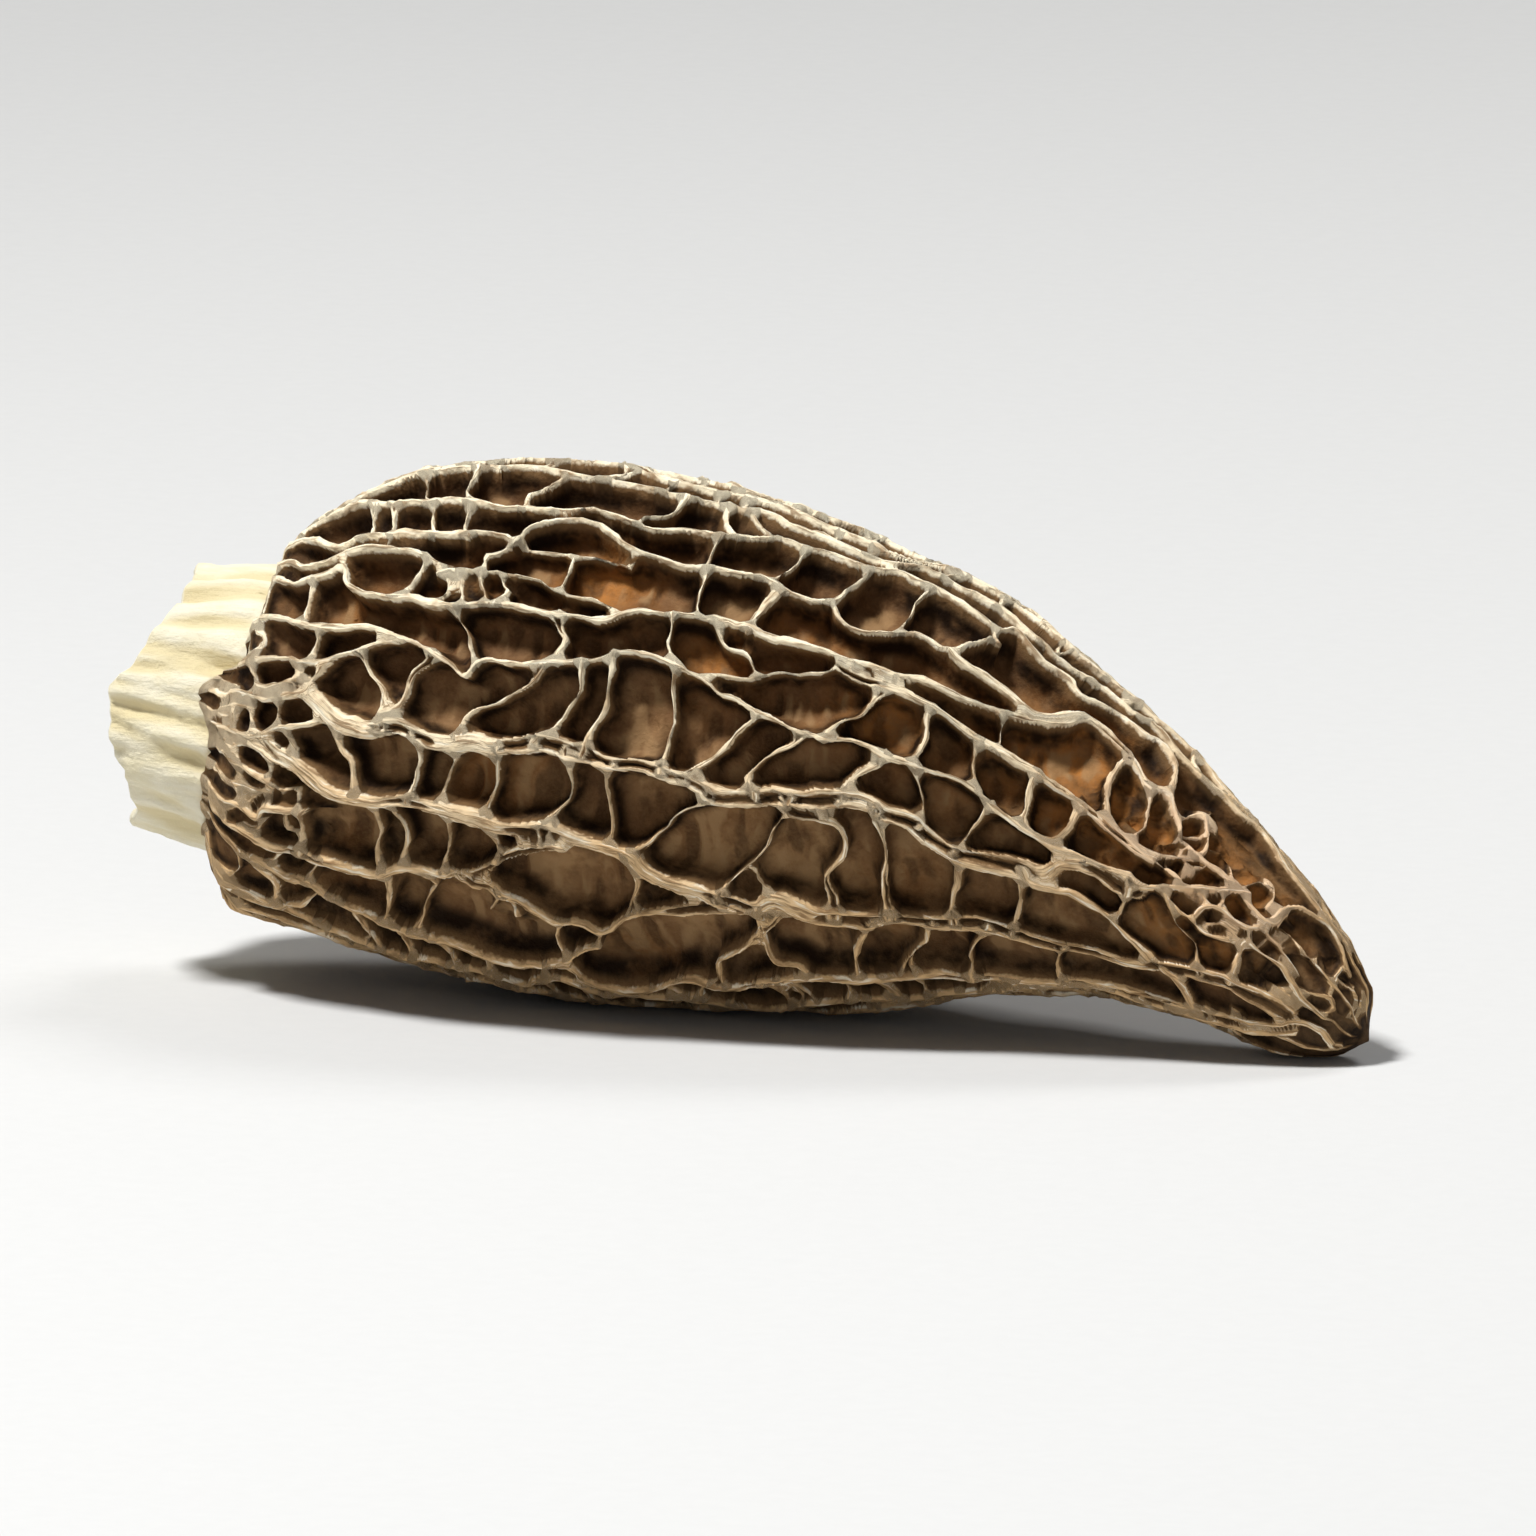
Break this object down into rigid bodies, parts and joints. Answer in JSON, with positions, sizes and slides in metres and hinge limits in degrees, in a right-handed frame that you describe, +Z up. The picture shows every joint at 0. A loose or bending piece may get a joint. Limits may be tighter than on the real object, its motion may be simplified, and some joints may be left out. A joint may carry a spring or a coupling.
{
  "type": "morel mushroom",
  "caption": "Dried morel lying on its side: long bent conical cap with ribs and pits, fused to a short cut stem whose bore opens into the hollow cap.",
  "frame": {"origin": "middle of the bottom of the bounding box, on the surface that the mushroom lies on", "axes": "+Z up, +X along the mushroom from the cut stem to the tip of the cap, +Y across it to the left of that"},
  "size_m": [0.0646, 0.027, 0.026],
  "materials": {
    "dried_flesh": "matt dried cap with pale ribs over brown pits, and a cream stem"
  },
  "bodies": {
    "root": {"morel_mushroom": "dried_flesh"}
  },
  "joints": []
}
